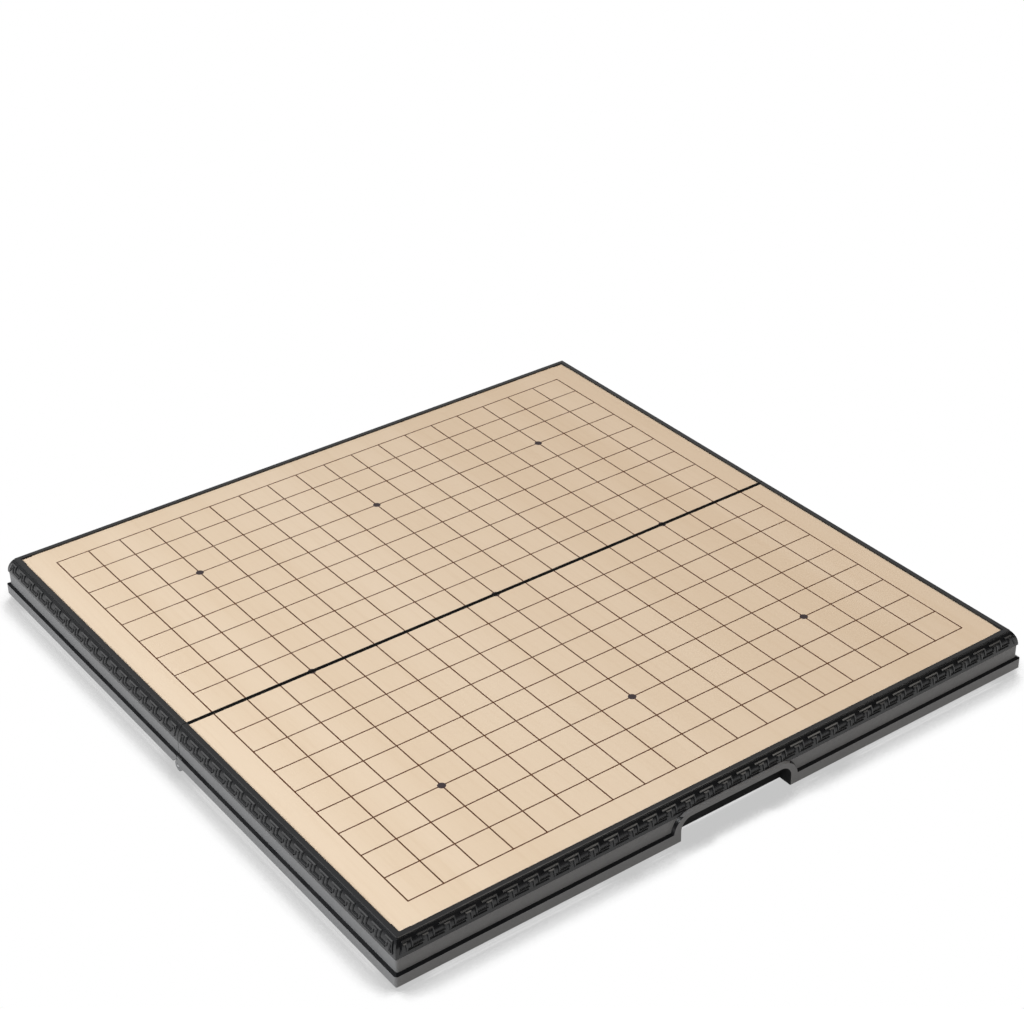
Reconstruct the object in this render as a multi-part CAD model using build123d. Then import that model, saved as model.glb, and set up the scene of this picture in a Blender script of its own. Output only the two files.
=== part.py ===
from build123d import *
import math
import os

# Folding go board: two moulded half trays, hinged along the fold, each with a printed steel playing sheet.
# X runs along the fold, +Y goes from the near half to the far half, +Z is up, board open, playing side up.
# The origin is below the middle of the fold, level with the lowest line of the hinge knuckles.

# Whole board
board_width = 360.0
half_depth = 180.9
fold_gap = 0.3
closed_gap = 0.3
overrun = 2.0

# Rim profile: heights follow one another upwards from the rim's foot, insets count from the flange's face
flange_height = 5.55
ledge_height = 0.7
band_height = 6.9
shoulder_height = 7.4
lip_height = 0.7
band_inset = 1.6
shoulder_foot_inset = 1.4
shoulder_top_inset = 4.2
shoulder_crown = 0.7
lip_inset = 4.4
lip_width = 2.6
edge_ease = 0.3
flange_corner_radius = 1.4
band_corner_radius = 1.2
lip_corner_radius = 1.0

# Walls inside the tray
rim_width = 2.2
wall = 2.0
fold_wall = 2.2
deck_thickness = 1.8
rib_thickness = 1.4
rib_height = 3.0
cross_rib_count = 3
long_rib_count = 2

# Playing sheet, its tape and what keeps it in the frame
sheet_thickness = 0.4
sheet_clearance = 0.15
lip_rise = 0.7
fold_lip_width = 0.8
fold_lip_rise = 0.2
tape_thickness = 0.15
tape_width = 15.0
tape_end_margin = 25.0
tape_edge_margin = 12.0
tape_count = 4
tab_length = 6.0
tab_reach = 0.5
tab_clearance = 0.1

# Finger recess in the middle of the outer side
recess_width = 63.8
recess_height = 11.8
recess_depth = 7.3
recess_corner_radius = 6.0
border_width = 4.0
border_height = 2.6

# Knuckle hinge
knuckle_radius = 2.8
end_knuckle_length = 8.0
middle_knuckle_length = 16.0
inner_knuckle_length = 8.0
knuckle_setback = 0.3
knuckle_side_gap = 0.3
knuckle_clearance = 0.4
root_reach = 4.2
root_height = 6.0
pin_radius = 1.0
pin_running_clearance = 0.05
pin_setback = 0.2
pin_end_radius = 0.5
pin_blind_depth = 6.0
pin_end_clearance = 0.2

# Closing magnets
magnet_radius = 4.0
magnet_thickness = 3.0
magnet_recess = 0.1
magnet_clearance = 0.05
magnet_spacing = 120.0
cup_wall = 1.5
cup_floor = 1.4

# Levels and edges worked out from the sizes above
axis_level = knuckle_radius
foot_level = axis_level + closed_gap / 2
flange_top = foot_level + flange_height
ledge_top = flange_top + ledge_height
band_top = ledge_top + band_height
shoulder_top = band_top + shoulder_height
lip_top = shoulder_top + lip_height
sheet_top = lip_top - lip_rise
sheet_bottom = sheet_top - sheet_thickness
deck_top = sheet_bottom - tape_thickness
deck_bottom = deck_top - deck_thickness
side_face = board_width / 2
fold_face = fold_gap / 2
outer_face = fold_face + half_depth
pocket_inset = lip_inset + lip_width
pocket_side = side_face - pocket_inset
pocket_outer = outer_face - pocket_inset
pocket_fold = fold_face + fold_lip_width
hollow_inset = band_inset + wall
hollow_fold = fold_face + fold_wall

# Stretches along the left end of the fold that belong to each knuckle, from the side face inwards
end_knuckle = (-side_face + knuckle_setback, -side_face + knuckle_setback + end_knuckle_length)
middle_knuckle_start = end_knuckle[1] + knuckle_side_gap
middle_knuckle = (middle_knuckle_start, middle_knuckle_start + middle_knuckle_length)
inner_knuckle_start = middle_knuckle[1] + knuckle_side_gap
inner_knuckle = (inner_knuckle_start, inner_knuckle_start + inner_knuckle_length)
pin_span = (-side_face + pin_setback, inner_knuckle[0] + pin_blind_depth)


def block(x_span, y_span, z_span):
    """A box between two planes on each axis."""
    spans = (x_span, y_span, z_span)
    size = [high - low for low, high in spans]
    return Pos(*[low for low, high in spans]) * Box(*size, align=(Align.MIN, Align.MIN, Align.MIN))


def x_cylinder(radius, x_span):
    """A cylinder on the hinge's axis."""
    length = x_span[1] - x_span[0]
    lying = Rotation(0, 90, 0) * Cylinder(radius, length, align=(Align.CENTER, Align.CENTER, Align.MIN))
    return Pos(x_span[0], 0, axis_level) * lying


def front_place(inset, level):
    """A point of the outer side's section, in the plane of the left side face."""
    return Vector(-side_face, -outer_face + inset, level)


def left_place(inset, level):
    return Vector(-side_face + inset, -outer_face, level)


def right_place(inset, level):
    return Vector(side_face - inset, -outer_face, level)


def straight_run(points):
    return [Line(first, second) for first, second in zip(points, points[1:])]


def rim_line(place):
    """The rim's outer section from its foot to the top of the lip."""
    foot = [
        place(edge_ease, foot_level),
        place(0, foot_level + edge_ease),
        place(0, flange_top),
        place(band_inset, ledge_top),
        place(band_inset, band_top),
        place(shoulder_foot_inset, band_top),
    ]
    rise = shoulder_top - band_top
    run = shoulder_top_inset - shoulder_foot_inset
    chord = math.hypot(run, rise)
    crown = place(
        shoulder_foot_inset + run / 2 - shoulder_crown * rise / chord,
        band_top + rise / 2 + shoulder_crown * run / chord,
    )
    top = [
        place(shoulder_top_inset, shoulder_top),
        place(lip_inset, shoulder_top),
        place(lip_inset, lip_top - edge_ease),
        place(lip_inset + edge_ease, lip_top),
    ]
    return straight_run(foot) + [ThreePointArc(foot[-1], crown, top[0])] + straight_run(top)


def hollow_line(place):
    """The tray's inner section from below its mouth to the underside of the deck."""
    return straight_run([
        place(rim_width, foot_level - overrun),
        place(rim_width, flange_top),
        place(hollow_inset, ledge_top),
        place(hollow_inset, band_top),
        place(shoulder_top_inset + wall, deck_bottom),
    ])


def closed_face(edges, corners):
    """The face inside a section line that is closed through some more corners."""
    loop = [edges[-1] @ 1, *corners, edges[0] @ 0]
    return make_face(edges + straight_run(loop))


def three_sided(line, fold_plane, low_level, high_level):
    """A solid with the section on its left, right and outer sides, mitred, and flat at the fold."""
    front = closed_face(
        line(front_place),
        [front_place(outer_face - fold_plane, high_level), front_place(outer_face - fold_plane, low_level)],
    )
    left_edges = line(left_place)
    right_edges = line(right_place)
    across = make_face(
        left_edges + right_edges + [Line(left_edges[-1] @ 1, right_edges[-1] @ 1)]
        + [Line(left_edges[0] @ 0, right_edges[0] @ 0)]
    )
    along_fold = extrude(front, amount=board_width, dir=(1, 0, 0))
    along_depth = extrude(across, amount=outer_face - fold_plane, dir=(0, 1, 0))
    return along_fold & along_depth


def corner_cut(inset, radius, z_span):
    """What rounding the two outer corners takes off the rim between two levels."""
    cuts = []
    for side in (-1, 1):
        corner_x = side * (side_face - inset)
        centre_x = corner_x - side * radius
        centre_y = -outer_face + inset + radius
        x_span = sorted((centre_x, corner_x + side * overrun))
        square = block(x_span, (centre_y - radius - overrun, centre_y), z_span)
        height = z_span[1] - z_span[0]
        post = Cylinder(radius, height, align=(Align.CENTER, Align.CENTER, Align.MIN))
        cuts.append(square - Pos(centre_x, centre_y, z_span[0]) * post)
    return cuts


def recess_face(side_margin, top_margin, inset, low_level):
    """The finger recess's outline with margins round it, standing at an inset from the outer side."""
    half_width = recess_width / 2 + side_margin
    high_level = foot_level + recess_height + top_margin
    outline = Pos(0, (low_level + high_level) / 2) * Rectangle(2 * half_width, high_level - low_level)
    outline = fillet(outline.vertices().group_by(Axis.Y)[-1], recess_corner_radius + side_margin)
    return Pos(0, -outer_face + inset, 0) * (Plane.XZ * outline)


def recess_block(margin, depth, low_level):
    """The finger recess's opening, or the walls round it when it is given a margin."""
    return extrude(recess_face(margin, margin, 0, low_level), amount=depth, dir=(0, 1, 0))


def recess_border():
    """The raised border round the finger recess, with the ledge's slope carried on round it."""
    low_level = foot_level + edge_ease
    front = recess_face(border_width, border_height, 0, low_level)
    back = recess_face(border_width + ledge_height, border_height + ledge_height, band_inset, low_level)
    slope = loft([front.face(), back.face()], ruled=True)
    return slope + extrude(back, amount=hollow_inset - band_inset, dir=(0, 1, 0))


def ribs():
    """Stiffening ribs below the deck, evenly spread both ways."""
    z_span = (deck_bottom - rib_height, deck_bottom)
    half = rib_thickness / 2
    x_pitch = board_width / (cross_rib_count + 1)
    y_pitch = half_depth / (long_rib_count + 1)
    cross_places = [-side_face + x_pitch * n for n in range(1, cross_rib_count + 1)]
    long_places = [-outer_face + y_pitch * n for n in range(1, long_rib_count + 1)]
    cross = [block((x - half, x + half), (-outer_face, -fold_face), z_span) for x in cross_places]
    long = [block((-side_face, side_face), (y - half, y + half), z_span) for y in long_places]
    return cross + long


def magnet_places():
    centre_y = -outer_face + rim_width + magnet_radius
    return [(side * magnet_spacing / 2, centre_y) for side in (-1, 1)]


def magnet_post(radius, x, y, z_span):
    height = z_span[1] - z_span[0]
    return Pos(x, y, z_span[0]) * Cylinder(radius, height, align=(Align.CENTER, Align.CENTER, Align.MIN))


def both_ends(span):
    """A stretch at the left end of the fold and its like at the right end."""
    return [span, (-span[1], -span[0])]


def knuckle_web(x_span, size_share, level_sign):
    """The web from a knuckle's barrel to the rim's foot, as it lies open (1) or folded over (-1)."""
    toe_y = -root_reach
    toe_z = foot_level - axis_level
    touch_angle = math.atan2(toe_z, toe_y) + math.acos(knuckle_radius / math.hypot(toe_y, toe_z))
    outline = [
        (toe_y, toe_z),
        (knuckle_radius * math.cos(touch_angle), knuckle_radius * math.sin(touch_angle)),
        (0, 0),
        (-fold_face, toe_z),
    ]
    turned = [(size_share * y, size_share * level_sign * z) for y, z in outline]
    corners = [Vector(x_span[0], y, axis_level + z) for y, z in turned]
    web_face = make_face(straight_run(corners + corners[:1]))
    return extrude(web_face, amount=x_span[1] - x_span[0], dir=(1, 0, 0))


def knuckle(x_span):
    """A knuckle of the near half: barrel, sloping web and the root that fills the foot of the fold wall."""
    root = block(x_span, (-root_reach, -fold_face), (foot_level, foot_level + root_height))
    return x_cylinder(knuckle_radius, x_span) + knuckle_web(x_span, 1, 1) + root


def knuckle_notch(x_span):
    """Room in the near half for a knuckle of the other half, as it lies open and as it comes folded over."""
    wide_span = (x_span[0] - knuckle_side_gap, x_span[1] + knuckle_side_gap)
    room_radius = knuckle_radius + knuckle_clearance
    return x_cylinder(room_radius, wide_span) + knuckle_web(wide_span, room_radius / knuckle_radius, -1)


def corner_tabs():
    """Small tabs on the lip that hold the sheet down beside the two outer corners."""
    z_span = (sheet_top + tab_clearance, lip_top - edge_ease)
    tabs = []
    for side in (-1, 1):
        along = sorted((side * (pocket_side - tab_length), side * pocket_side))
        tabs.append(block(along, (-pocket_outer, -pocket_outer + tab_reach), z_span))
        inwards = sorted((side * (pocket_side - tab_reach), side * pocket_side))
        tabs.append(block(inwards, (-pocket_outer, -pocket_outer + tab_length), z_span))
    return tabs


def half_frame(own_knuckles, other_knuckles):
    """One half's moulding, drawn as the near half."""
    body = three_sided(rim_line, fold_face, foot_level, lip_top)
    body -= corner_cut(0, flange_corner_radius, (foot_level, ledge_top))
    body -= corner_cut(band_inset, band_corner_radius, (ledge_top, band_top))
    body -= corner_cut(lip_inset, lip_corner_radius, (shoulder_top, lip_top))
    hollow = three_sided(hollow_line, hollow_fold, foot_level - overrun, deck_bottom)
    hollow -= ribs()
    hollow -= recess_block(wall, recess_depth + wall, foot_level)
    cup_top = foot_level + magnet_recess + magnet_thickness + cup_floor
    cup_radius = magnet_radius + cup_wall
    hollow -= [magnet_post(cup_radius, x, y, (foot_level, cup_top)) for x, y in magnet_places()]
    body -= hollow
    body += recess_border()
    body -= recess_block(0, recess_depth, foot_level - overrun)
    body -= block((-pocket_side, pocket_side), (-pocket_outer, -pocket_fold), (deck_top, lip_top + overrun))
    fold_lip_top = sheet_top + fold_lip_rise
    body -= block((-pocket_side, pocket_side), (-pocket_fold, overrun), (fold_lip_top, lip_top + overrun))
    body += corner_tabs()
    magnet_top = foot_level + magnet_recess + magnet_thickness
    magnet_hole = magnet_radius + magnet_clearance
    body -= [magnet_post(magnet_hole, x, y, (foot_level - overrun, magnet_top)) for x, y in magnet_places()]
    body += [knuckle(end) for span in own_knuckles for end in both_ends(span)]
    body -= [knuckle_notch(end) for span in other_knuckles for end in both_ends(span)]
    bore_span = (-side_face - overrun, pin_span[1] + pin_end_clearance)
    bore_radius = pin_radius + pin_running_clearance
    body -= [x_cylinder(bore_radius, end) for end in both_ends(bore_span)]
    return body


def hinge_pin(x_span):
    """A plain pin with rounded ends."""
    pin = x_cylinder(pin_radius, x_span)
    return fillet(pin.edges().filter_by(GeomType.CIRCLE), pin_end_radius)


def playing_sheet():
    edge_x = pocket_side - sheet_clearance
    y_span = (-pocket_outer + sheet_clearance, -pocket_fold - sheet_clearance)
    return block((-edge_x, edge_x), y_span, (sheet_bottom, sheet_top))


def tape_strips():
    """Strips of double-sided tape between the deck and the sheet."""
    first = -pocket_outer + tape_edge_margin
    last = -pocket_fold - tape_edge_margin - tape_width
    pitch = (last - first) / (tape_count - 1)
    half_length = pocket_side - tape_end_margin
    return [
        block(
            (-half_length, half_length),
            (first + pitch * n, first + pitch * n + tape_width),
            (deck_top, sheet_bottom),
        )
        for n in range(tape_count)
    ]


def far(shape):
    """The same thing on the far half."""
    return mirror(shape, about=Plane.XZ)


magnet_span = (foot_level + magnet_recess, foot_level + magnet_recess + magnet_thickness)
left_magnet, right_magnet = [magnet_post(magnet_radius, x, y, magnet_span) for x, y in magnet_places()]
left_pin, right_pin = [hinge_pin(end) for end in both_ends(pin_span)]

nodes = {
    "near_frame": half_frame([end_knuckle, inner_knuckle], [middle_knuckle]),
    "far_frame": far(half_frame([middle_knuckle], [end_knuckle, inner_knuckle])),
    "near_playing_sheet": playing_sheet(),
    "far_playing_sheet": far(playing_sheet()),
    "near_sheet_tape": Compound(children=tape_strips()),
    "far_sheet_tape": Compound(children=[far(strip) for strip in tape_strips()]),
    "left_hinge_pin": left_pin,
    "right_hinge_pin": right_pin,
    "near_left_magnet": left_magnet,
    "near_right_magnet": right_magnet,
    "far_left_magnet": far(left_magnet),
    "far_right_magnet": far(right_magnet),
}

os.makedirs("parts", exist_ok=True)
for name, shape in nodes.items():
    export_step(shape, os.path.join("parts", name + ".step"))
    volume = sum(solid.volume for solid in shape.solids())
    print(name, len(shape.solids()), "solids", round(volume, 1), "mm3")
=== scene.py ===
import math
import bmesh
import bpy
from mathutils import Euler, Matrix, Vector


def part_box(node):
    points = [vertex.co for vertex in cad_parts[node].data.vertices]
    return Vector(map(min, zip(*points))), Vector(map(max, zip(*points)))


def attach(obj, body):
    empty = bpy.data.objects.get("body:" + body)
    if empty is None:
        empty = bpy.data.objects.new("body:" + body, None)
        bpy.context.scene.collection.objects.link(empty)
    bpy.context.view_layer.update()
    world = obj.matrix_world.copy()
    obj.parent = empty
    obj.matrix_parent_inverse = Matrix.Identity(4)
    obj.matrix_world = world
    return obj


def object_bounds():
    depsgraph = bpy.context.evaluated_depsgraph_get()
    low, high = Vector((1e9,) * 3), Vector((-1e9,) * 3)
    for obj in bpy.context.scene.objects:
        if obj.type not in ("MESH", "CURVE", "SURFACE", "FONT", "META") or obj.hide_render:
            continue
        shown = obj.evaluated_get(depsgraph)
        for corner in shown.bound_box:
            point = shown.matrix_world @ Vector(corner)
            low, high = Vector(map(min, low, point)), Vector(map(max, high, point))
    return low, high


# Folding go board: looks for the two moulded halves, their printed sheets and the hinge
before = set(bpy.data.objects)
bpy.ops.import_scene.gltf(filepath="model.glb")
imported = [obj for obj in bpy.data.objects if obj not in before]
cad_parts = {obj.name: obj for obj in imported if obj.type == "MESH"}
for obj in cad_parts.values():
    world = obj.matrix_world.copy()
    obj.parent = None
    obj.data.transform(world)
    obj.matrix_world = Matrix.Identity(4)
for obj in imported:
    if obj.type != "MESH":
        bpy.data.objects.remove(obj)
cadLow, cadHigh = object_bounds()  # box of the solids alone, before anything is added
sideFace = cadHigh.x
outerFace = cadHigh.y
boardTop = cadHigh.z  # top of the lip round the sheets
mm = 0.001
plasticIor = 1.5  # moulding, lacquer and ink alike
print("frame loaded:", len(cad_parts), "nodes")


# node helpers

def newMaterial(name):
    material = bpy.data.materials.new(name)
    material.use_nodes = True
    material.node_tree.nodes.clear()
    return material, material.node_tree


def addNode(tree, kind, inputs=None, **settings):
    # an input takes another node's socket or a plain value
    node = tree.nodes.new(kind)
    for key, value in settings.items():
        setattr(node, key, value)
    for socket, value in (inputs or {}).items():
        if isinstance(value, bpy.types.NodeSocket):
            tree.links.new(value, node.inputs[socket])
        else:
            node.inputs[socket].default_value = value
    return node


def mathNode(tree, operation, first, second=0.0, clamp=False):
    inputs = {0: first, 1: second}
    return addNode(tree, "ShaderNodeMath", inputs, operation=operation, use_clamp=clamp).outputs[0]


def spread(tree, value, low, high, toLow=0.0, toHigh=1.0):
    # a soft step from toLow to toHigh, as the value goes from low to high
    inputs = {"Value": value, "From Min": low, "From Max": high, "To Min": toLow, "To Max": toHigh}
    return addNode(tree, "ShaderNodeMapRange", inputs, interpolation_type="SMOOTHSTEP").outputs["Result"]


def noise(tree, vector, scale, detail=2.0, roughness=0.5):
    inputs = {"Vector": vector, "Scale": scale, "Detail": detail, "Roughness": roughness}
    return addNode(tree, "ShaderNodeTexNoise", inputs).outputs["Fac"]


def mixColour(tree, factor, first, second, blend="MIX"):
    inputs = {0: factor, 6: first, 7: second}  # the mix node's colour sockets
    return addNode(tree, "ShaderNodeMix", inputs, data_type="RGBA", blend_type=blend).outputs[2]


def mixValue(tree, factor, first, second):
    inputs = {0: factor, 2: first, 3: second}  # the mix node's number sockets
    return addNode(tree, "ShaderNodeMix", inputs, data_type="FLOAT").outputs[0]


def bumpFrom(tree, height, strength, depth, normal=None):
    inputs = {"Strength": strength, "Distance": depth, "Height": height}
    if normal is not None:
        inputs["Normal"] = normal
    return addNode(tree, "ShaderNodeBump", inputs).outputs[0]


def principled(tree, inputs):
    shader = addNode(tree, "ShaderNodeBsdfPrincipled", inputs)
    addNode(tree, "ShaderNodeOutputMaterial", {"Surface": shader.outputs[0]})


def paint(names, material):
    # one finish for some of the solids
    for name in names:
        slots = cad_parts[name].data.materials
        slots.clear()
        slots.append(material)


# black moulding: grained outside faces, greyer with painted light; polished ledge, shoulder and lip; matt
# inside, left black as painted shade

moulding = {
    # grey of the grained faces: partly the grain, partly painted light on the faces that look out
    "grainAndPaintedLightColour": (0.137, 0.132, 0.128, 1),
    "polishColour": (0.005, 0.005, 0.0055, 1),
    # near black on the faces inside, such as the recess, notch, trays and fold, is painted shade
    "innerPaintedShadeColour": (0.003, 0.003, 0.003, 1),
    "grainRough": 0.52,
    "polishRough": 0.21,
    "innerRough": 0.95,
    "pitScale": 2600.0,  # per metre, so pits of about 0.4 mm
    "pitDetail": (3.0, 0.6),  # levels of detail and how strong the fine ones are
    "pitDepth": 0.04 * mm,
    "smoothDepthShare": 0.12,  # how much of the pits is left where the face isn't grained
    "mottleScale": 90.0,
    "mottleDetail": 3.0,
    "mottleShares": (0.3, 0.7),
    "mottleRough": (-0.04, 0.05),  # added to the roughness
    "pitTone": 0.5,
    "mottleTone": 0.3,
    "plainTone": 0.6,  # the three together are about 1 on average
    "edgeRadius": 0.16 * mm,
    "edgeSamples": 6,
    "bandDepth": 2.05 * mm,  # flange and band lie within this of the outside
    "borderDepth": 1.3 * mm,  # above the band only the recess border does
    "bandDrop": 8.1 * mm,  # the band's top, below the lip's top
    "rimDepth": 7.6 * mm,  # shoulder, lip and corner tabs lie within this
    "maskEdge": 0.06 * mm,
    "outwardShares": (0.45, 0.65),  # how squarely a face looks out to be grained and get the painted light
    "facingUpShares": (0.1, 0.2),
    "shoulderShare": 0.3,  # added above the band, so the shoulder's upright foot counts as facing up
}


def rimMasks(tree, coords):
    # where the grained finish with its painted light, the polished finish and the painted shade inside lie,
    # from the place on the board and the way a face looks
    edge = moulding["maskEdge"]
    spot = addNode(tree, "ShaderNodeSeparateXYZ", {0: coords.outputs["Object"]}).outputs
    look = addNode(tree, "ShaderNodeSeparateXYZ", {0: coords.outputs["Normal"]}).outputs
    fromSide = mathNode(tree, "SUBTRACT", sideFace, mathNode(tree, "ABSOLUTE", spot["X"]))
    fromFront = mathNode(tree, "SUBTRACT", outerFace, mathNode(tree, "ABSOLUTE", spot["Y"]))
    inset = mathNode(tree, "MINIMUM", fromSide, fromFront)
    atSide = mathNode(tree, "LESS_THAN", fromSide, fromFront)
    sideways = mathNode(tree, "ABSOLUTE", look["X"])
    endways = mathNode(tree, "ABSOLUTE", look["Y"])
    outward = mixValue(tree, atSide, endways, sideways)
    bandTop = boardTop - moulding["bandDrop"]
    aboveBand = spread(tree, spot["Z"], bandTop - edge, bandTop + edge)
    reach = mixValue(tree, aboveBand, moulding["bandDepth"], moulding["borderDepth"])
    outside = spread(tree, mathNode(tree, "SUBTRACT", inset, reach), -edge, edge, 1.0, 0.0)
    square = mathNode(tree, "MAXIMUM", spread(tree, outward, *moulding["outwardShares"]), aboveBand)
    grainedAndPaintedLight = mathNode(tree, "MULTIPLY", outside, square)
    rimDepth = moulding["rimDepth"]
    onRim = spread(tree, inset, rimDepth - edge, rimDepth + edge, 1.0, 0.0)
    lean = mathNode(tree, "MULTIPLY", aboveBand, moulding["shoulderShare"])
    facingUp = spread(tree, mathNode(tree, "ADD", look["Z"], lean), *moulding["facingUpShares"])
    return grainedAndPaintedLight, mathNode(tree, "MULTIPLY", onRim, facingUp)


def mouldingMaterial(name, masked=True):
    s = moulding
    material, tree = newMaterial(name)
    coords = addNode(tree, "ShaderNodeTexCoord")
    pits = noise(tree, coords.outputs["Object"], s["pitScale"], *s["pitDetail"])
    mottle = noise(tree, coords.outputs["Object"], s["mottleScale"], s["mottleDetail"])
    pitTone = mathNode(tree, "MULTIPLY", pits, s["pitTone"])
    mottleTone = mathNode(tree, "MULTIPLY", mottle, s["mottleTone"])
    tone = mathNode(tree, "ADD", mathNode(tree, "ADD", pitTone, mottleTone), s["plainTone"])
    colour, rough, depth = s["polishColour"], s["polishRough"], s["smoothDepthShare"]
    if masked:
        grainedAndPaintedLight, polished = rimMasks(tree, coords)
        # faces inside stay near black as painted shade, the rim's upward faces are polished black
        colour = mixColour(tree, polished, s["innerPaintedShadeColour"], s["polishColour"])
        # grained faces that look out turn grey: the grain's roughness and bumps are real, their grey colour
        # is painted light
        colour = mixColour(tree, grainedAndPaintedLight, colour, s["grainAndPaintedLightColour"])
        rough = mixValue(tree, polished, s["innerRough"], s["polishRough"])
        rough = mixValue(tree, grainedAndPaintedLight, rough, s["grainRough"])
        depth = mixValue(tree, grainedAndPaintedLight, s["smoothDepthShare"], 1.0)
    grey = addNode(tree, "ShaderNodeCombineColor", {0: tone, 1: tone, 2: tone}).outputs[0]
    colour = mixColour(tree, 1.0, colour, grey, "MULTIPLY")
    rough = mathNode(tree, "ADD", rough, spread(tree, mottle, *s["mottleShares"], *s["mottleRough"]))
    edge = addNode(tree, "ShaderNodeBevel", {"Radius": s["edgeRadius"]}, samples=s["edgeSamples"])
    bump = bumpFrom(tree, pits, depth, s["pitDepth"], edge.outputs[0])
    principled(tree, {"Base Color": colour, "Roughness": rough, "IOR": plasticIor, "Normal": bump})
    return material


mouldedBlack = mouldingMaterial("mouldedBlack")
polishedBlack = mouldingMaterial("polishedBlack", masked=False)  # for the fret, polished all over
paint(("near_frame", "far_frame"), mouldedBlack)
print("black moulding painted")


# printed sheet: pale wood print under a satin lacquer

sheetPrint = {
    "paleColour": (0.722, 0.568, 0.412, 1),
    "tanColour": (0.692, 0.535, 0.378, 1),
    "streakColour": (0.58, 0.41, 0.25, 1),
    "streakStrength": 0.16,
    "streakScale": 420.0,
    "streakDetail": (4.0, 0.65),
    "streakShares": (0.45, 0.75),
    "streakStretch": 26.0,  # how much longer than wide a streak is
    "swayScale": 9.0,  # slow waves that the streaks follow
    "swayDetail": 1.0,
    "swayReach": 4.0 * mm,
    "patchScale": 26.0,
    "patchShares": (0.3, 0.7),
    "roughShares": (0.2, 0.8),
    "rough": (0.40, 0.48),
    "peelScale": 900.0,  # faint orange peel of the lacquer
    "peelStrength": 0.1,
    "peelDepth": 0.02 * mm,
}


def sheetMaterial():
    s = sheetPrint
    material, tree = newMaterial("printedWood")
    place = addNode(tree, "ShaderNodeTexCoord").outputs["Object"]
    sway = mathNode(tree, "MULTIPLY", noise(tree, place, s["swayScale"], s["swayDetail"]), s["swayReach"])
    aside = addNode(tree, "ShaderNodeCombineXYZ", {"X": sway}).outputs[0]
    swayed = addNode(tree, "ShaderNodeVectorMath", {0: place, 1: aside}, operation="ADD").outputs[0]
    stretch = (1.0, 1 / s["streakStretch"], 1.0)
    along = addNode(tree, "ShaderNodeMapping", {"Vector": swayed, "Scale": stretch}).outputs[0]
    streaks = noise(tree, along, s["streakScale"], *s["streakDetail"])
    patches = noise(tree, along, s["patchScale"])
    colour = mixColour(tree, spread(tree, patches, *s["patchShares"]), s["paleColour"], s["tanColour"])
    shade = mathNode(tree, "MULTIPLY", spread(tree, streaks, *s["streakShares"]), s["streakStrength"])
    colour = mixColour(tree, shade, colour, s["streakColour"])
    rough = spread(tree, patches, *s["roughShares"], *s["rough"])
    bump = bumpFrom(tree, noise(tree, place, s["peelScale"]), s["peelStrength"], s["peelDepth"])
    principled(tree, {"Base Color": colour, "Roughness": rough, "IOR": plasticIor, "Normal": bump})
    return material


sheets = {"near": "near_playing_sheet", "far": "far_playing_sheet"}
paint(sheets.values(), sheetMaterial())
print("printed sheets painted")


# hinge pins, magnets and tape

hingePins = {
    "brightColour": (0.86, 0.86, 0.87, 1),
    "dullColour": (0.70, 0.70, 0.72, 1),
    "lineScale": 3000.0,
}
closingMagnets = {
    "brightColour": (0.70, 0.68, 0.64, 1),
    "dullColour": (0.56, 0.55, 0.53, 1),
    "lineScale": 1800.0,
}
metalLines = {  # fine lines along X on both metals
    "stretch": (0.2, 1.0, 1.0),
    "detail": 3.0,
    "shares": (0.3, 0.7),
    "rough": (0.16, 0.28),
    "strength": 0.2,
    "depth": 0.02 * mm,
}
sheetTape = {
    "thinColour": (0.62, 0.58, 0.48, 1),
    "thickColour": (0.74, 0.71, 0.62, 1),
    "fibreScale": 1500.0,
    "fibreDetail": 3.0,
    "fibreShares": (0.3, 0.7),
    "rough": (0.35, 0.5),
}


def metalMaterial(name, metal):
    s = metalLines
    material, tree = newMaterial(name)
    place = addNode(tree, "ShaderNodeTexCoord").outputs["Object"]
    drawn = addNode(tree, "ShaderNodeMapping", {"Vector": place, "Scale": s["stretch"]}).outputs[0]
    lines = noise(tree, drawn, metal["lineScale"], s["detail"])
    colour = mixColour(tree, lines, metal["brightColour"], metal["dullColour"])
    rough = spread(tree, lines, *s["shares"], *s["rough"])
    bump = bumpFrom(tree, lines, s["strength"], s["depth"])
    principled(tree, {"Base Color": colour, "Metallic": 1.0, "Roughness": rough, "Normal": bump})
    return material


def tapeMaterial():
    s = sheetTape
    material, tree = newMaterial("tapeFilm")
    place = addNode(tree, "ShaderNodeTexCoord").outputs["Object"]
    fibres = noise(tree, place, s["fibreScale"], s["fibreDetail"])
    colour = mixColour(tree, fibres, s["thinColour"], s["thickColour"])
    rough = spread(tree, fibres, *s["fibreShares"], *s["rough"])
    principled(tree, {"Base Color": colour, "Roughness": rough})
    return material


paint(("left_hinge_pin", "right_hinge_pin"), metalMaterial("pinSteel", hingePins))
magnets = ("near_left_magnet", "near_right_magnet", "far_left_magnet", "far_right_magnet")
paint(magnets, metalMaterial("magnetPlating", closingMagnets))
paint(("near_sheet_tape", "far_sheet_tape"), tapeMaterial())
print("pins, magnets and tape painted")


def addPiece(name, shape, material, body):
    # a finished mesh becomes a piece that moves with its half
    mesh = bpy.data.meshes.new(name)
    shape.to_mesh(mesh)
    shape.free()
    piece = bpy.data.objects.new(name, mesh)
    bpy.context.scene.collection.objects.link(piece)
    mesh.materials.append(material)
    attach(piece, body)


# grid of nineteen lines and nine star dots, printed on both sheets

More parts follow.
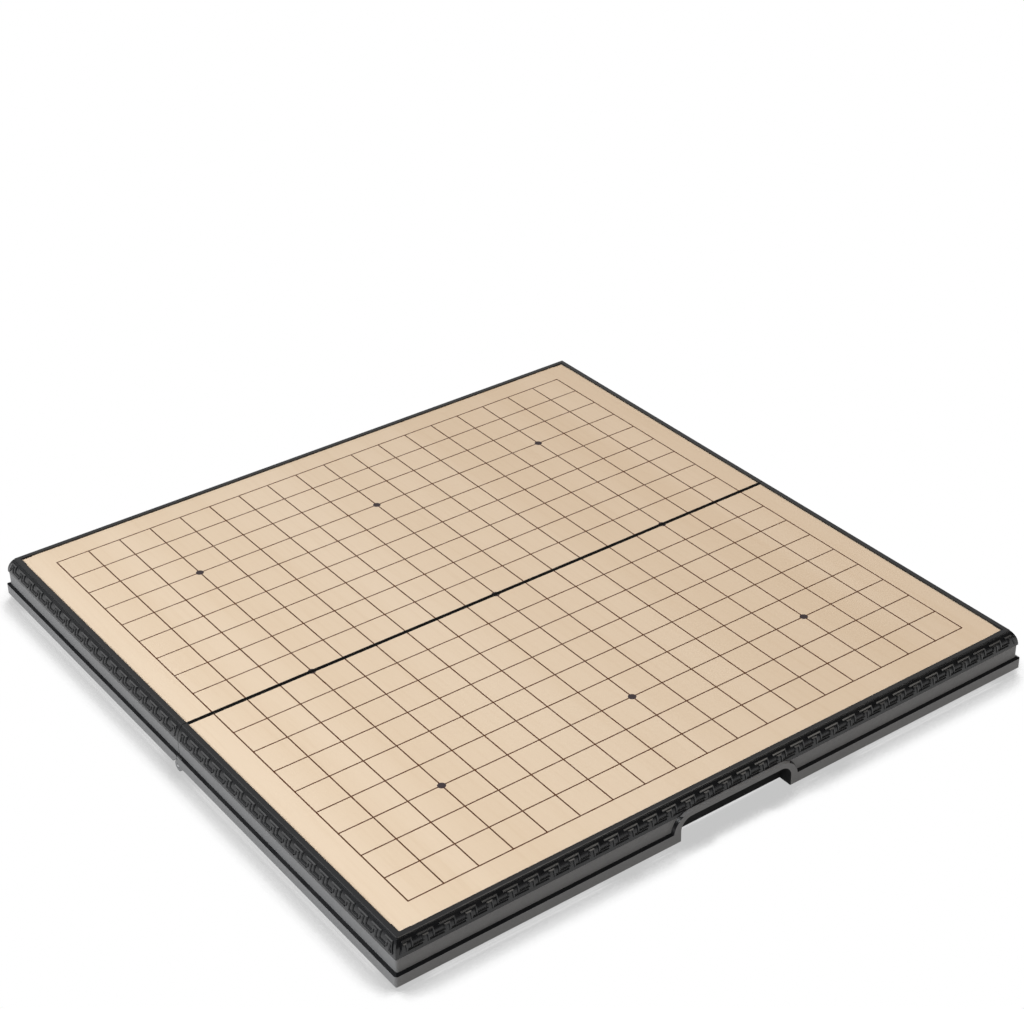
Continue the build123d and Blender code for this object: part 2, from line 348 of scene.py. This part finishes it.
grid = {
    "pitch": 17.712 * mm,
    "firstRow": 18.766 * mm,  # from the fold to the nearest printed row
    "linesPerSide": 9,  # on each side of the middle line
    "lineWidth": 0.7 * mm,
    "lineLift": 0.02 * mm,
    "inkRoot": 0.01 * mm,  # how far the ink reaches into the sheet
    "dotRadius": 2.0 * mm,
    "dotLift": 0.03 * mm,
    "dotSides": 40,
    "starLine": 6,  # the dots' lines, counted from the middle
    "lineColours": ((0.072, 0.022, 0.006, 1), (0.105, 0.037, 0.012, 1)),
    "dotColours": ((0.034, 0.022, 0.024, 1), (0.052, 0.035, 0.036, 1)),
    "patchScale": 700.0,  # uneven ink
    "patchDetail": 3.0,
    "patchShares": (0.3, 0.7),
    "rough": (0.5, 0.62),
}


def inkMaterial(name, colours):
    material, tree = newMaterial(name)
    place = addNode(tree, "ShaderNodeTexCoord").outputs["Object"]
    patches = noise(tree, place, grid["patchScale"], grid["patchDetail"])
    colour = mixColour(tree, patches, *colours)
    rough = spread(tree, patches, *grid["patchShares"], *grid["rough"])
    principled(tree, {"Base Color": colour, "Roughness": rough, "IOR": plasticIor})
    return material


def inkedCells(xCuts, yCuts, level):
    # quads of a lattice, each cut pair being the two edges of a line
    shape = bmesh.new()
    corner = {}

    def vertex(i, j):
        if (i, j) not in corner:
            corner[i, j] = shape.verts.new((xCuts[i], yCuts[j], level))
        return corner[i, j]

    for i in range(len(xCuts) - 1):
        for j in range(len(yCuts) - 1):
            if i % 2 == 0 or j % 2 == 0:  # even stretches are ink, odd ones are bare
                shape.faces.new((vertex(i, j), vertex(i + 1, j), vertex(i + 1, j + 1), vertex(i, j + 1)))
    return shape


def raiseInk(shape, height):
    # a lifted copy of the flat print, joined to it by walls
    flat = shape.faces[:]
    outline = [edge.verts[:] for edge in shape.edges if edge.is_boundary]
    lift = Vector((0, 0, height))
    lifted = {vertex: shape.verts.new(vertex.co + lift) for vertex in shape.verts[:]}
    for face in flat:
        shape.faces.new([lifted[vertex] for vertex in face.verts])
    for a, b in outline:
        shape.faces.new((a, b, lifted[b], lifted[a]))
    bmesh.ops.recalc_face_normals(shape, faces=shape.faces[:])


brownInk = inkMaterial("brownInk", grid["lineColours"])
dotInk = inkMaterial("dotInk", grid["dotColours"])


def printSheet(half, sign):
    sheetLow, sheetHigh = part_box(sheets[half])
    level = sheetHigh.z - grid["inkRoot"]
    foldEdge = min(abs(sheetLow.y), abs(sheetHigh.y))
    count = grid["linesPerSide"]
    columns = [grid["pitch"] * n for n in range(-count, count + 1)]
    rows = [grid["firstRow"] + grid["pitch"] * n for n in range(count)]  # from the fold outwards
    lineEdges = (-grid["lineWidth"] / 2, grid["lineWidth"] / 2)
    xCuts = [x + edge for x in columns for edge in lineEdges]
    yCuts = [foldEdge] + [y + edge for y in rows for edge in lineEdges]
    yCuts = [sign * y for y in reversed(yCuts)]  # from the outer row in, so even stretches are rows
    lines = inkedCells(xCuts, yCuts, level)
    raiseInk(lines, grid["inkRoot"] + grid["lineLift"])
    addPiece(half + "_grid_print", lines, brownInk, half + "_half")

    dots = bmesh.new()
    turns = [2 * math.pi * n / grid["dotSides"] for n in range(grid["dotSides"])]
    for column in (-grid["starLine"], 0, grid["starLine"]):
        for centreY in (0.0, rows[grid["starLine"] - 1]):
            points = []
            for turn in turns:
                x = grid["pitch"] * column + grid["dotRadius"] * math.cos(turn)
                y = centreY + grid["dotRadius"] * math.sin(turn)
                if y > foldEdge:  # the two sheets share the dots on the fold
                    points.append((x, sign * y, level))
            dots.faces.new([dots.verts.new(point) for point in points])
    raiseInk(dots, grid["inkRoot"] + grid["dotLift"])
    addPiece(half + "_star_dots", dots, dotInk, half + "_half")


printSheet("near", -1)
printSheet("far", 1)
print("grid and star dots printed")


# fret on the shoulder of the rim: running hooks, raised as bars with flat facets

fret = {
    "footInset": 1.4 * mm,  # foot of the shoulder, in from the outside
    "footDrop": 8.1 * mm,  # and below the lip's top
    "topInset": 4.2 * mm,
    "topDrop": 0.7 * mm,
    "crown": 0.7 * mm,  # how far the shoulder bulges between the two
    "rowDrops": (6.0 * mm, 4.95 * mm, 3.2 * mm, 2.1 * mm),  # rows of bars below the lip's top, lowest first
    "barWidth": 1.0 * mm,
    "barHeight": 0.45 * mm,
    "barRoot": 0.05 * mm,  # how far a bar reaches into the shoulder
    # section of a bar as (share of its width, share of its height): wall, long facet, crest, flank
    "barShares": ((-0.5, 0.43), (-0.47, 0.5), (0.15, 1.0), (0.34, 0.9), (0.5, 0.2)),
    "bendStep": 0.8 * mm,
    # one hook as (share of the pitch, row): top bar, drop, step, rise, arch, drop, lowest bar
    "hookShares": ((0.0, 3), (0.688, 3), (0.688, 1), (1.22, 1), (1.22, 2), (1.44, 2), (1.44, 0), (2.15, 0)),
    "hooksBefore": 3,  # hooks begun before the first, so that the low rows are filled there too
    "longPitch": 10.53 * mm,
    "shortPitch": 9.995 * mm,
    "firstFromPost": 7.6 * mm,
    "postFromMitre": 2.4 * mm,
    "postFromFold": 2.6 * mm,
    "endGap": 0.9 * mm,  # from a post to the bars of the lower rows
    "sheetSetback": 0.95 * mm,  # from the fold face to the sheet
    "recessHalf": 36.6 * mm,  # the recess border covers the low rows over this half width
    "recessDrop": 6.6 * mm,  # its top, below the lip's top
    "shortest": 1.2 * mm,
    "slack": 0.001 * mm,  # places nearer than this are one
    "sharpAngle": 20.0,  # degrees, facets that meet more steeply keep a crisp edge
}


class Shoulder:
    # round section of the rim's shoulder, measured along its curve from the foot

    def __init__(self, sizes):
        foot = Vector((sizes["footInset"], boardTop - sizes["footDrop"]))
        top = Vector((sizes["topInset"], boardTop - sizes["topDrop"]))
        chord = top - foot
        self.radius = (chord.length ** 2 / 4 + sizes["crown"] ** 2) / (2 * sizes["crown"])
        self.half = math.asin(chord.length / 2 / self.radius)
        outward = Vector((-chord.y, chord.x)).normalized()
        self.centre = (foot + top) / 2 - outward * (self.radius - sizes["crown"])
        self.middle = math.atan2(outward.y, outward.x)

    def at(self, climb, lift=0.0):
        angle = self.middle + self.half - climb / self.radius
        reach = self.radius + lift
        return self.centre.x + reach * math.cos(angle), self.centre.y + reach * math.sin(angle)

    def climbTo(self, level):
        angle = math.pi - math.asin((level - self.centre.y) / self.radius)
        return (self.middle + self.half - angle) * self.radius


shoulder = Shoulder(fret)


def keepInside(hook, low, high):
    # stretches of a hook between the posts, as runs of joined points; each row has its own limits
    runs = []
    goesOn = False
    for (x0, row0), (x1, row1) in zip(hook, hook[1:]):
        start = min(max(x0, low[row0]), high[row0])
        end = min(max(x1, low[row1]), high[row1])
        if row0 == row1:
            inside = end - start > fret["slack"]
        else:
            inside = low[row0] <= x0 <= high[row0]
        if not inside:
            goesOn = False
            continue
        if not goesOn or abs(runs[-1][-1][0] - start) > fret["slack"]:
            runs.append([(start, row0)])
        runs[-1].append((end, row1))
        goesOn = abs(end - x1) <= fret["slack"]  # a stretch that was cut short ends its run
    return runs


def clearRecess(points, low, high, border):
    # leave out what the recess border covers: low bars in its span and the feet of drops onto it
    stretches = []
    for (x0, climb0), (x1, climb1) in zip(points, points[1:]):
        if climb0 == climb1 and climb0 < border:
            spans = ((x0, min(x1, low)), (max(x0, high), x1))
            stretches += [((a, climb0), (b, climb0)) for a, b in spans if b - a > fret["barWidth"]]
        elif low < x0 < high and climb0 != climb1:
            climb0, climb1 = max(climb0, border), max(climb1, border)
            if abs(climb1 - climb0) > fret["barWidth"]:
                stretches.append(((x0, climb0), (x1, climb1)))
        else:
            stretches.append(((x0, climb0), (x1, climb1)))
    runs = []
    for start, end in stretches:
        if runs and runs[-1][-1] == start:
            runs[-1].append(end)
        else:
            runs.append([start, end])
    return runs


def bendOver(points):
    # more points on the stretches that climb the curve
    bent = [points[0]]
    for (x0, climb0), (x1, climb1) in zip(points, points[1:]):
        steps = max(1, math.ceil(abs(climb1 - climb0) / fret["bendStep"]))
        for n in range(1, steps + 1):
            bent.append((x0 + (x1 - x0) * n / steps, climb0 + (climb1 - climb0) * n / steps))
    return bent


def addBar(shape, points, place):
    # one bar swept along its points, mitred at the corners and closed at both ends
    points = [Vector(point) for point in bendOver(points)]
    ways = [(b - a).normalized() for a, b in zip(points, points[1:])]
    width, height, root = fret["barWidth"], fret["barHeight"], fret["barRoot"]
    section = [(across * width, lift * height) for across, lift in fret["barShares"]]
    section += [(width / 2, -root), (-width / 2, -root)]
    rings = []
    for n, point in enumerate(points):
        before = ways[max(n - 1, 0)]
        after = ways[min(n, len(ways) - 1)]
        left = Vector((-before.y, before.x)) + Vector((-after.y, after.x))
        left /= 1 + before.dot(after)
        rings.append([shape.verts.new(place(point.x - left.x * across, point.y - left.y * across, lift))
                      for across, lift in section])
    for ring, following in zip(rings, rings[1:]):
        for n in range(len(section)):
            m = (n + 1) % len(section)
            shape.faces.new((ring[n], ring[m], following[m], following[n]))
    shape.faces.new(rings[0])
    shape.faces.new(list(reversed(rings[-1])))


def carveFret(name, body, start, along, inward, length, ends, pitch, recess=False):
    # one side of the rim, seen from outside from left to right; ends say mitre or fold
    def place(distance, climb, lift):
        inset, level = shoulder.at(climb, lift)
        flat = start + along * distance + inward * inset
        return flat.x, flat.y, level

    def postAt(end, climb):
        if ends[end] == "fold":
            return fret["postFromFold"]
        return shoulder.at(climb)[0] + fret["postFromMitre"]

    rows = [shoulder.climbTo(boardTop - drop) for drop in fret["rowDrops"]]
    low = [postAt(0, row) + fret["endGap"] for row in rows]
    high = [length - postAt(1, row) - fret["endGap"] for row in rows]
    low[-1] -= fret["endGap"]  # the top row runs on to the posts
    high[-1] += fret["endGap"]
    borderSpan = (length, length)  # past the end where no recess breaks the side
    if recess:
        borderSpan = (length / 2 - fret["recessHalf"], length / 2 + fret["recessHalf"])
    borderClimb = shoulder.climbTo(boardTop - fret["recessDrop"])
    shape = bmesh.new()
    first = low[-1] + fret["firstFromPost"]
    count = math.ceil((high[-1] - first) / pitch)
    for n in range(-fret["hooksBefore"], count):
        hook = [(first + (n + share) * pitch, row) for share, row in fret["hookShares"]]
        for run in keepInside(hook, low, high):
            climbs = [(x, rows[row]) for x, row in run]
            for points in clearRecess(climbs, *borderSpan, borderClimb):
                if sum(math.dist(a, b) for a, b in zip(points, points[1:])) > fret["shortest"]:
                    addBar(shape, points, place)
    for end in (0, 1):  # posts that close the fret beside the corner or the fold
        stations = [(postAt(end, climb), climb) for climb in (rows[0] - fret["barWidth"] / 2, rows[-1])]
        if end == 1:
            stations = [(length - x, climb) for x, climb in stations]
        addBar(shape, stations, place)
    bmesh.ops.recalc_face_normals(shape, faces=shape.faces[:])
    for face in shape.faces:
        face.smooth = True
    for edge in shape.edges:
        edge.smooth = edge.calc_face_angle(0.0) < math.radians(fret["sharpAngle"])
    addPiece(name, shape, polishedBlack, body)


def carveHalf(half, turn, outerSide, firstSide, lastSide):
    # the far half is the near one turned round, so its turn is -1
    foldFace = -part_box("near_playing_sheet")[1].y - fret["sheetSetback"]
    xAxis, yAxis = Vector((turn, 0)), Vector((0, turn))
    width, depth = 2 * sideFace, outerFace - foldFace
    body = half + "_half"
    carveFret(half + "_fret_" + outerSide, body,
              Vector((-sideFace, -outerFace)) * turn, xAxis, yAxis,
              width, ("mitre", "mitre"), fret["longPitch"], recess=True)
    carveFret(half + "_fret_" + firstSide, body,
              Vector((-sideFace, -foldFace)) * turn, -yAxis, xAxis,
              depth, ("fold", "mitre"), fret["shortPitch"])
    carveFret(half + "_fret_" + lastSide, body,
              Vector((sideFace, -outerFace)) * turn, yAxis, -xAxis,
              depth, ("mitre", "fold"), fret["shortPitch"])


carveHalf("near", 1, "front", "left", "right")
carveHalf("far", -1, "back", "right", "left")
print("fret carved on six sides")


# floor, white to the camera apart from the board's shadow

paleFloor = {
    "size": 6.0,
    "shadowReach": 0.02,
    "shadowShares": (0.16, 0.33),  # how hemmed in the floor is where the shadow begins and where it is full
    "shadowStrength": 0.45,
    "shadowSamples": 16,
    "bounce": 0.85,  # light that the floor sends back
    "bounceReach": 0.05,
    "bounceLean": (-0.2, 0.35, 0.9),  # the floor sends back less light in front and to the right
    "bounceSamples": 2,
}


def shadeNear(tree, reach, samples, lean=(0.0, 0.0, 1.0)):
    # how hemmed in a place on the floor is, within reach and over to the lean
    way = addNode(tree, "ShaderNodeCombineXYZ", dict(enumerate(lean))).outputs[0]
    near = addNode(tree, "ShaderNodeAmbientOcclusion", {"Distance": reach, "Normal": way}, samples=samples)
    return mathNode(tree, "SUBTRACT", 1.0, near.outputs["AO"])


def glow(tree, grey, strength):
    inputs = {"Color": (grey, grey, grey, 1), "Strength": strength}
    return addNode(tree, "ShaderNodeEmission", inputs).outputs[0]


def mixShader(tree, factor, first, second):
    return addNode(tree, "ShaderNodeMixShader", {0: factor, 1: first, 2: second}).outputs[0]


def floorMaterial():
    s = paleFloor
    material, tree = newMaterial("paleFloor")
    rays = addNode(tree, "ShaderNodeLightPath").outputs
    hemmedIn = shadeNear(tree, s["shadowReach"], s["shadowSamples"])
    shade = spread(tree, hemmedIn, *s["shadowShares"], 0.0, s["shadowStrength"])
    under = shadeNear(tree, s["bounceReach"], s["bounceSamples"], s["bounceLean"])
    clear = addNode(tree, "ShaderNodeBsdfTransparent").outputs[0]
    dark = glow(tree, 0.0, 0.0)
    mirrored = mathNode(tree, "ADD", rays["Is Glossy Ray"], rays["Is Transmission Ray"], True)
    bounce = mixShader(tree, mirrored, glow(tree, 1.0, s["bounce"]), glow(tree, 1.0, 1.0))
    bounce = mixShader(tree, under, bounce, dark)
    bounce = mixShader(tree, rays["Is Shadow Ray"], bounce, clear)
    shadow = mixShader(tree, shade, clear, dark)
    seen = mixShader(tree, rays["Is Camera Ray"], bounce, shadow)
    addNode(tree, "ShaderNodeOutputMaterial", {"Surface": seen})
    return material


def layFloor():
    shape = bmesh.new()
    bmesh.ops.create_grid(shape, x_segments=1, y_segments=1, size=paleFloor["size"] / 2)
    mesh = bpy.data.meshes.new("paleFloor")
    shape.to_mesh(mesh)
    shape.free()
    mesh.materials.append(floorMaterial())
    floor = bpy.data.objects.new("paleFloor", mesh)
    floor.location.z = cadLow.z
    bpy.context.scene.collection.objects.link(floor)


layFloor()
print("floor laid")


# surroundings: white to the camera, soft light all round, and a room for the black rim to mirror

room = {
    "ambient": 0.24,
    "ambientColour": (0.97, 1.0, 1.02, 1),
    "dark": 0.05,  # what is mirrored between the pale things
    "wallWay": (-0.6, 0.8, 0.0),  # pale wall low behind and to the left
    "wallShares": (0.1, 0.4),  # how squarely it is faced where it fades in and where it is full
    "wallTop": (0.12, 0.34),  # it fades out between these heights
    "wallLevel": 0.35,
    "panelWay": (0.42, 0.67, 0.61),  # pale panel behind and to the right
    "panelShares": (0.88, 0.95),
    "panelLevel": 0.62,
    "windowWay": (-0.52, 0.65, 0.55),  # small bright window behind and to the left
    "windowShares": (0.95, 0.98),
    "windowLevel": 2.2,
}


def facing(tree, way, aim, shares):
    towards = addNode(tree, "ShaderNodeVectorMath", {0: way, 1: aim}, operation="DOT_PRODUCT")
    return spread(tree, towards.outputs["Value"], *shares)


def lightRoom():
    world = bpy.data.worlds.new("studio")
    world.use_nodes = True
    tree = world.node_tree
    tree.nodes.clear()
    rays = addNode(tree, "ShaderNodeLightPath").outputs
    way = addNode(tree, "ShaderNodeTexCoord").outputs["Generated"]
    height = addNode(tree, "ShaderNodeSeparateXYZ", {0: way}).outputs["Z"]
    wallLevel = spread(tree, height, *room["wallTop"], room["wallLevel"], 0.0)
    seen = room["dark"]
    levels = {"wall": wallLevel, "panel": room["panelLevel"], "window": room["windowLevel"]}
    for patch, level in levels.items():
        faced = facing(tree, way, room[patch + "Way"], room[patch + "Shares"])
        seen = mathNode(tree, "MAXIMUM", seen, mathNode(tree, "MULTIPLY", faced, level))
    strength = mixValue(tree, rays["Is Camera Ray"], seen, 1.0)
    mirrored = mathNode(tree, "ADD", rays["Is Glossy Ray"], rays["Is Transmission Ray"], True)
    direct = mathNode(tree, "ADD", rays["Is Camera Ray"], mirrored, True)
    soft = {"Color": room["ambientColour"], "Strength": room["ambient"]}
    ambient = addNode(tree, "ShaderNodeBackground", soft).outputs[0]
    plain = {"Color": (1, 1, 1, 1), "Strength": strength}
    backdrop = addNode(tree, "ShaderNodeBackground", plain).outputs[0]
    addNode(tree, "ShaderNodeOutputWorld", {"Surface": mixShader(tree, direct, ambient, backdrop)})
    bpy.context.scene.world = world


lightRoom()

# soft boxes turned to the middle of the board; those not mirrored don't show in the black rim
softBoxes = {
    "keyBox": {"place": (-0.9, -0.6, 0.85), "size": (0.2, 0.2), "power": 2.6,
               "colour": (0.97, 1.0, 1.02), "mirrored": True},
    "frontBox": {"place": (0.848, -1.103, 1.2), "size": (0.9, 0.5), "power": 4.6,
                 "colour": (1.0, 0.95, 0.88), "mirrored": True},
    "leftBox": {"place": (-0.97, 0.12, 0.8), "size": (1.0, 0.8), "power": 17.2,
                "colour": (0.92, 1.0, 1.09), "mirrored": False},
    "rightBox": {"place": (1.0, 0.25, 1.0), "size": (0.5, 0.5), "power": 3.6,
                 "colour": (1.0, 0.62, 0.25), "mirrored": False},
}


def hangBox(name, s):
    lamp = bpy.data.lights.new(name, "AREA")
    lamp.shape = "RECTANGLE"
    lamp.size, lamp.size_y = s["size"]
    lamp.energy = s["power"]
    lamp.color = s["colour"]
    box = bpy.data.objects.new(name, lamp)
    box.location = s["place"]
    box.rotation_euler = (-Vector(s["place"])).to_track_quat("-Z", "Y").to_euler()
    box.visible_glossy = s["mirrored"]
    bpy.context.scene.collection.objects.link(box)


for name, settings in softBoxes.items():
    hangBox(name, settings)
print("room lit with", len(softBoxes), "soft boxes")


# camera at the photo's angle

view = {
    "place": (-0.51373, -0.73795, 0.62262),
    "turn": (58.652, 1.146, -36.123),  # degrees about X, Y and Z
    "lens": 76.911,
    "sensor": 36.0,
}
cameraData = bpy.data.cameras.new("photoCamera")
cameraData.lens = view["lens"]
cameraData.sensor_width = view["sensor"]
camera = bpy.data.objects.new("photoCamera", cameraData)
camera.location = view["place"]
camera.rotation_euler = Euler([math.radians(angle) for angle in view["turn"]])
bpy.context.scene.collection.objects.link(camera)
bpy.context.scene.camera = camera
bpy.context.scene.view_settings.view_transform = "Standard"
print("camera set")
